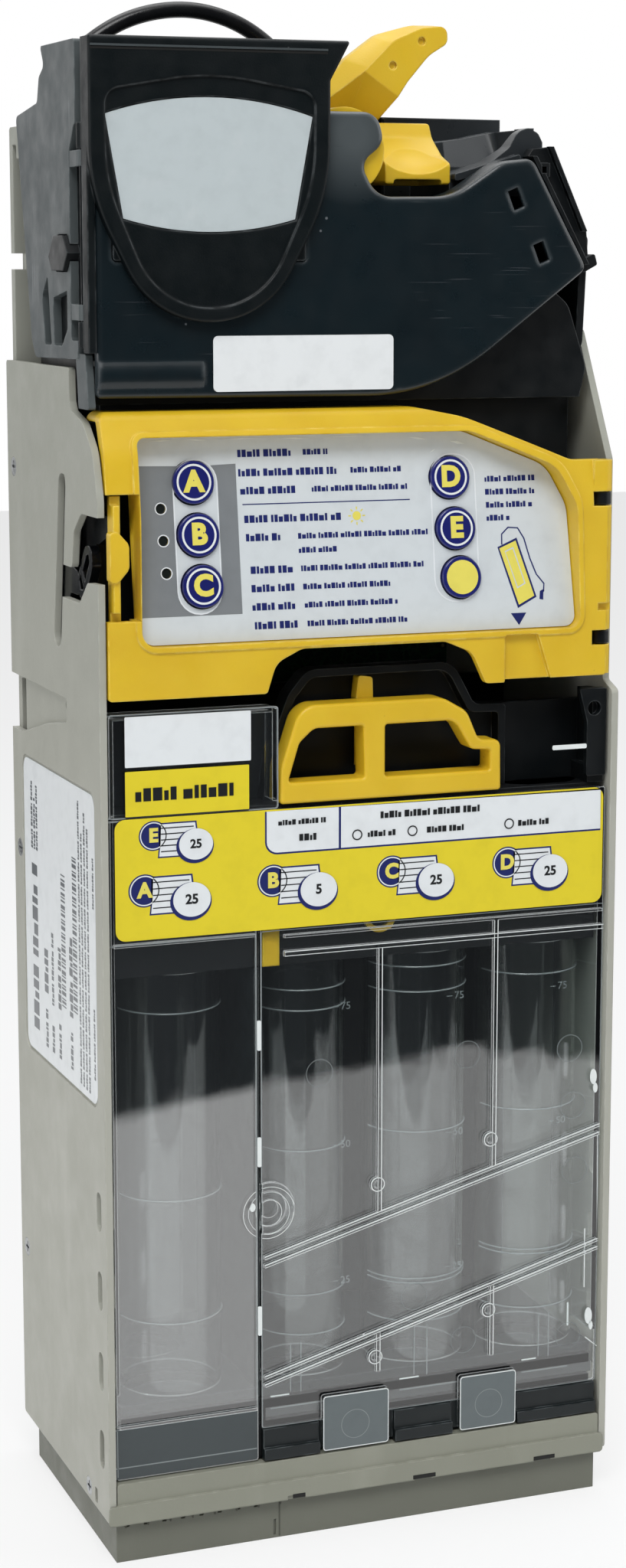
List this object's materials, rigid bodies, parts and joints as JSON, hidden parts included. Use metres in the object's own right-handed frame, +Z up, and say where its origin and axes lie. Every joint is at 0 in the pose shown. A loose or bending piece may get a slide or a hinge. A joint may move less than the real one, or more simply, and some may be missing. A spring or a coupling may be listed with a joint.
{
  "type": "coin changer dispenser",
  "caption": "Upright coin changer: swing-lid acceptor with reject lever, keypad door, pull-out coin tube cassette, payout slides and motor base.",
  "frame": {"origin": "middle of the underside of the base, below the middle of the side walls", "axes": "+X to the right seen from the front, +Y towards the mounting back, +Z up"},
  "size_m": [0.1382, 0.0821, 0.3863],
  "materials": {
    "base_steel": "darker grey paint",
    "black_plastic": "fine moulded grain",
    "brass": "machined",
    "button_plastic": "navy with a printed ring",
    "cable_jacket": "black jacket",
    "card": "printed card",
    "circuit_board": "solder mask",
    "clear_plastic": "smoky clear moulding",
    "grey_film": "printed film",
    "grey_plastic": "acetal",
    "led_lens": "unlit lens",
    "motor_steel": "plated can",
    "painted_steel": "light grey powder coat",
    "pale_badge": "bare badge",
    "pale_label": "printed film",
    "screw_steel": "zinc plated",
    "white_plastic": "acetal",
    "yellow_plastic": "moulded yellow"
  },
  "bodies": {
    "chassis": {"back_panel": "painted_steel", "left_wall": "painted_steel", "right_wall": "painted_steel", "base_plinth": "base_steel", "chassis_screws": "screw_steel", "rating_label": "pale_label", "main_board": "circuit_board", "rear_inlet": "black_plastic", "dispenser_frame": "black_plastic", "dispenser_motor": "motor_steel", "separator_housing": "black_plastic", "gate_solenoid": "motor_steel", "acceptor_body": "black_plastic", "acceptor_side_cover": "black_plastic", "coin_entry_cup": "black_plastic", "flight_deck": "black_plastic", "acceptor_board": "circuit_board", "lever_spring": "screw_steel", "lever_pins": "screw_steel", "hinge_pins": "screw_steel", "cable_glands": "black_plastic", "harness_cable": "cable_jacket"},
    "cassette": {"cassette_deck": "black_plastic", "cassette_shell": "black_plastic", "cassette_arch": "black_plastic", "cassette_base": "black_plastic", "cassette_front_cover": "clear_plastic", "cassette_window_left": "clear_plastic", "label_pocket": "clear_plastic", "cassette_cards": "card", "quarter_tubes": "clear_plastic", "nickel_tube": "clear_plastic", "cassette_handle": "yellow_plastic", "cassette_bracket": "black_plastic"},
    "cassette_latch_tab": {"cassette_latch": "yellow_plastic"},
    "door": {"door_frame": "yellow_plastic", "keypad_overlay": "grey_film", "keypad_board": "circuit_board", "status_leds": "led_lens"},
    "latch": {"door_latch": "yellow_plastic"},
    "release_lever": {"side_lever": "black_plastic"},
    "gate": {"accept_gate": "white_plastic"},
    "camshaft_group": {"camshaft": "white_plastic", "cam_gear": "white_plastic"},
    "pinion": {"motor_pinion": "brass"},
    "lid": {"lid_shell": "black_plastic", "badge_bezel": "black_plastic", "badge_plate": "pale_badge", "lid_sticker": "pale_label"},
    "lever": {"reject_lever": "yellow_plastic"},
    "slide_ae": {"payout_slide_ae": "grey_plastic"},
    "slide_b": {"payout_slide_b": "grey_plastic"},
    "slide_c": {"payout_slide_c": "grey_plastic"},
    "slide_d": {"payout_slide_d": "grey_plastic"},
    "key_a": {"button_a": "button_plastic"},
    "key_b": {"button_b": "button_plastic"},
    "key_c": {"button_c": "button_plastic"},
    "key_d": {"button_d": "button_plastic"},
    "key_e": {"button_e": "button_plastic"},
    "key_menu": {"button_menu": "button_plastic"}
  },
  "joints": [
    {"name": "door_hinge", "type": "hinge", "parent": "chassis", "child": "door", "pos_m": [0.064, -0.0372, 0.25], "axis": [0, 0, 1], "range_deg": [0, 100]},
    {"name": "lid_hinge", "type": "hinge", "parent": "chassis", "child": "lid", "pos_m": [-0.0672, -0.028, 0.33], "axis": [0, 0, 1], "range_deg": [-75, 0]},
    {"name": "reject_lever_pivot", "type": "hinge", "parent": "chassis", "child": "lever", "pos_m": [-0.0033, -0.02, 0.3482], "axis": [0, 1, 0], "range_deg": [0, 16], "stiffness_Nm_per_rad": 0.05, "springref_deg": -17.19},
    {"name": "cassette_slide", "type": "slide", "parent": "chassis", "child": "cassette", "axis": [0, -1, 0], "range_m": [0, 0.085]},
    {"name": "cassette_latch_slide", "type": "slide", "parent": "cassette", "child": "cassette_latch_tab", "axis": [0, 0, -1], "range_m": [0, 0.003], "stiffness_N_per_m": 200, "springref_m": -0.002},
    {"name": "door_latch_slide", "type": "slide", "parent": "door", "child": "latch", "axis": [1, 0, 0], "range_m": [0, 0.003], "stiffness_N_per_m": 200, "springref_m": -0.002},
    {"name": "button_a_press", "type": "slide", "parent": "door", "child": "key_a", "axis": [0, 0.9912, -0.1322], "range_m": [0, 0.0012], "stiffness_N_per_m": 400, "springref_m": -0.001},
    {"name": "button_b_press", "type": "slide", "parent": "door", "child": "key_b", "axis": [0, 0.9912, -0.1322], "range_m": [0, 0.0012], "stiffness_N_per_m": 400, "springref_m": -0.001},
    {"name": "button_c_press", "type": "slide", "parent": "door", "child": "key_c", "axis": [0, 0.9912, -0.1322], "range_m": [0, 0.0012], "stiffness_N_per_m": 400, "springref_m": -0.001},
    {"name": "button_d_press", "type": "slide", "parent": "door", "child": "key_d", "axis": [0, 0.9912, -0.1322], "range_m": [0, 0.0012], "stiffness_N_per_m": 400, "springref_m": -0.001},
    {"name": "button_e_press", "type": "slide", "parent": "door", "child": "key_e", "axis": [0, 0.9912, -0.1322], "range_m": [0, 0.0012], "stiffness_N_per_m": 400, "springref_m": -0.001},
    {"name": "button_menu_press", "type": "slide", "parent": "door", "child": "key_menu", "axis": [0, 0.9912, -0.1322], "range_m": [0, 0.0012], "stiffness_N_per_m": 400, "springref_m": -0.001},
    {"name": "release_lever_pivot", "type": "hinge", "parent": "chassis", "child": "release_lever", "pos_m": [-0.0652, -0.0037, 0.2317], "axis": [1, 0, 0], "range_deg": [0, 12], "stiffness_Nm_per_rad": 0.02, "springref_deg": -17.19},
    {"name": "accept_gate_pivot", "type": "hinge", "parent": "chassis", "child": "gate", "pos_m": [-0.018, 0, 0.276], "axis": [0, 1, 0], "range_deg": [0, 22], "stiffness_Nm_per_rad": 0.005, "springref_deg": -11.46},
    {"name": "camshaft_spin", "type": "hinge", "parent": "chassis", "child": "camshaft_group", "pos_m": [0, -0.015, 0.0115], "axis": [1, 0, 0], "continuous": true},
    {"name": "pinion_spin", "type": "hinge", "parent": "chassis", "child": "pinion", "pos_m": [-0.0274, -0.0276, 0.0115], "axis": [1, 0, 0], "continuous": true},
    {"name": "payout_ae_slide", "type": "slide", "parent": "chassis", "child": "slide_ae", "axis": [0, 1, 0], "range_m": [0, 0.012]},
    {"name": "payout_b_slide", "type": "slide", "parent": "chassis", "child": "slide_b", "axis": [0, 1, 0], "range_m": [0, 0.012]},
    {"name": "payout_c_slide", "type": "slide", "parent": "chassis", "child": "slide_c", "axis": [0, 1, 0], "range_m": [0, 0.012]},
    {"name": "payout_d_slide", "type": "slide", "parent": "chassis", "child": "slide_d", "axis": [0, 1, 0], "range_m": [0, 0.012]}
  ],
  "couplings": [
    {"joint": "pinion_spin", "follows": "camshaft_spin", "ratio": -2}
  ]
}
